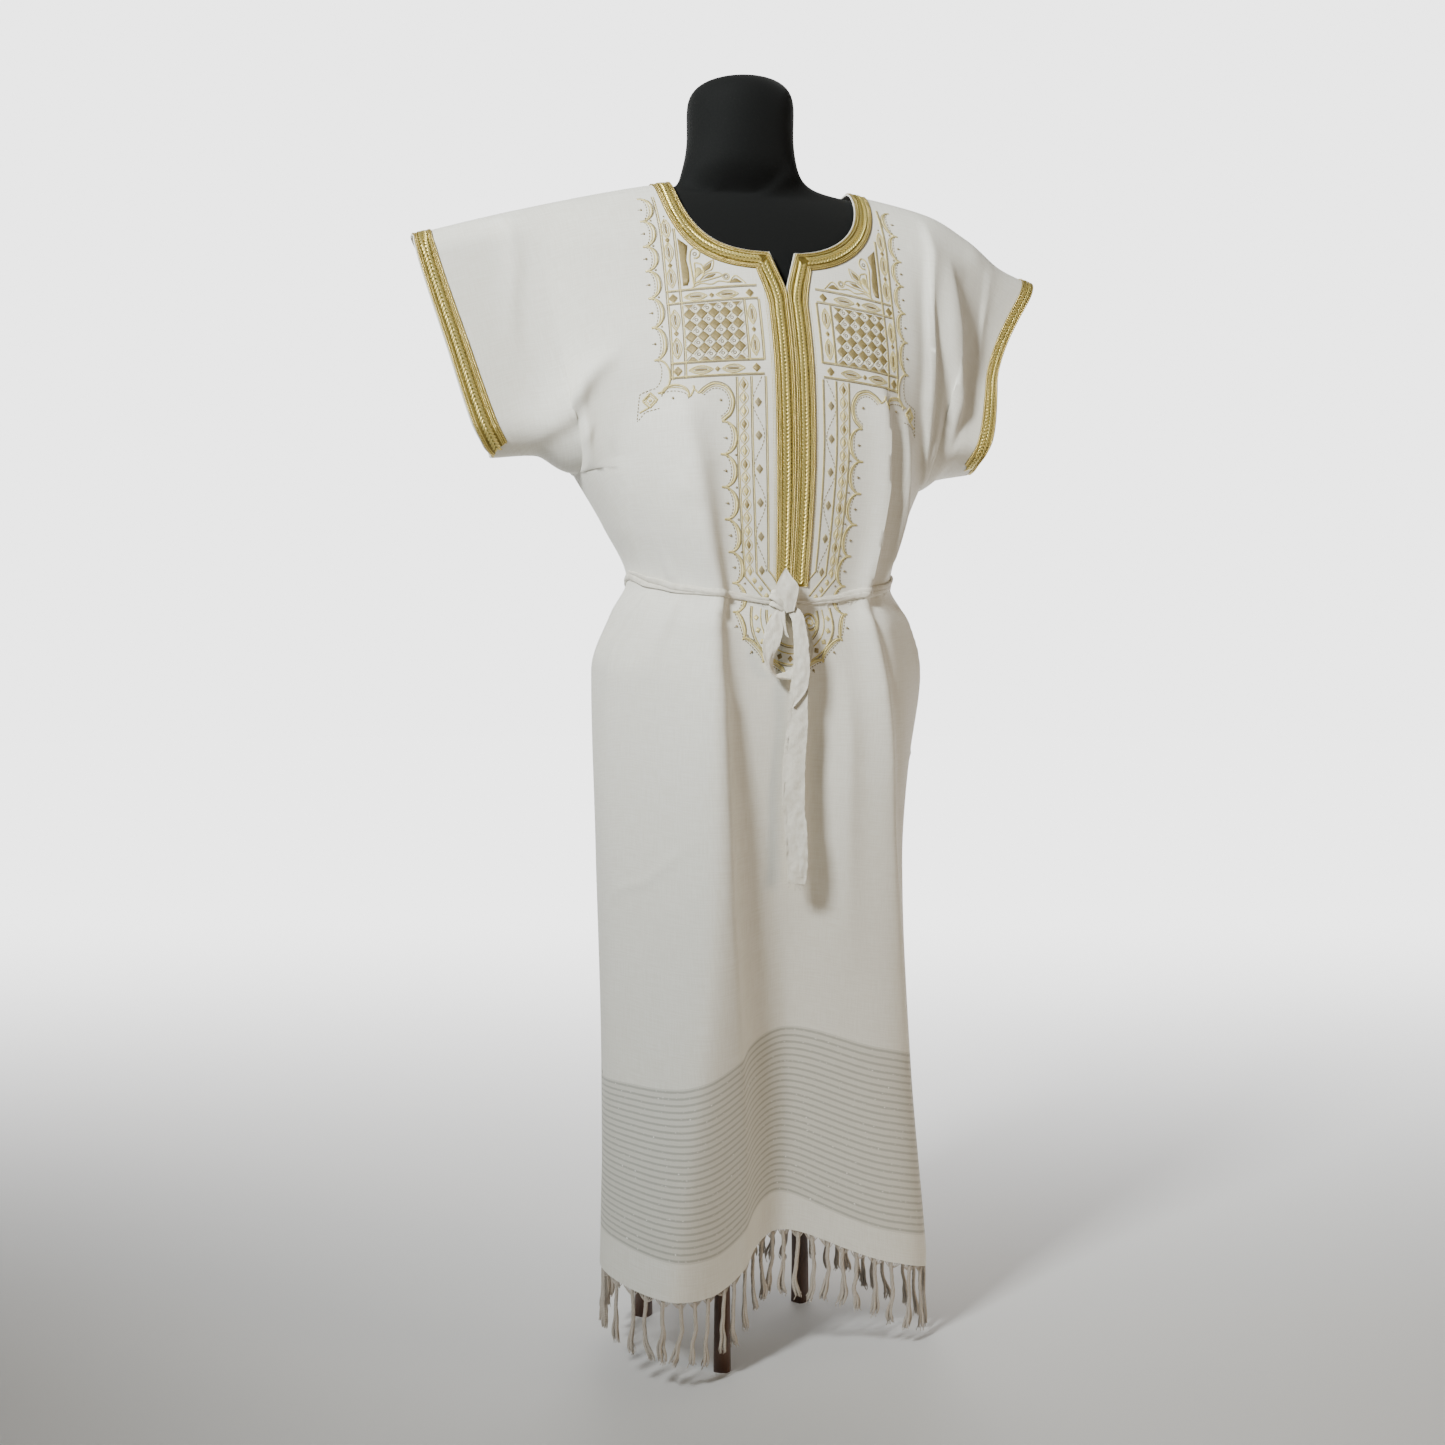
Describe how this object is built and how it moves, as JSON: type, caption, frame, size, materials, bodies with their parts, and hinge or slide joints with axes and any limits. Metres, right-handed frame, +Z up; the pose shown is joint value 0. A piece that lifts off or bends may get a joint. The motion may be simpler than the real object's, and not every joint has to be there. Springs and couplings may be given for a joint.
{
  "type": "kaftan dress on a dress form stand",
  "caption": "Ankle-length cotton kaftan dress with short kimono sleeves, gold braid edges and a fringed hem, tied with a narrow belt on a limbless dress form with a wooden tripod.",
  "frame": {"origin": "middle of the bounding box on the floor, below the dress form", "axes": "+Z up, -Y towards the front of the dress, +X towards the viewer's right (the wearer's left)"},
  "size_m": [0.7187, 0.2983, 1.3644],
  "materials": {
    "cotton": "off-white plain-woven cotton, matt, with a band of fine grey and metallic weft stripes above the hem and gold thread embroidery round the neck",
    "gold_braid": "woven metallic gold braid with raised cords and a chevron plait",
    "belt_tape": "narrow raw-edged cotton tape in the dress's cloth",
    "black_jersey": "smooth black stretch jersey cover",
    "dark_wood": "dark brown stained wood, satin"
  },
  "bodies": {
    "root": {"front_panel": "cotton", "back_panel": "cotton", "neck_braid": "gold_braid", "placket_braid_left": "gold_braid", "placket_braid_right": "gold_braid", "cuff_braid_left": "gold_braid", "cuff_braid_right": "gold_braid", "belt_band": "belt_tape", "belt_knot": "belt_tape", "belt_loop": "belt_tape", "belt_end_short": "belt_tape", "belt_tail": "belt_tape", "fringe_front": "cotton", "fringe_back": "cotton", "form_torso": "black_jersey", "stand_pole": "dark_wood", "stand_hub": "dark_wood", "stand_leg_front": "dark_wood", "stand_leg_right": "dark_wood", "stand_leg_left": "dark_wood"}
  },
  "joints": []
}
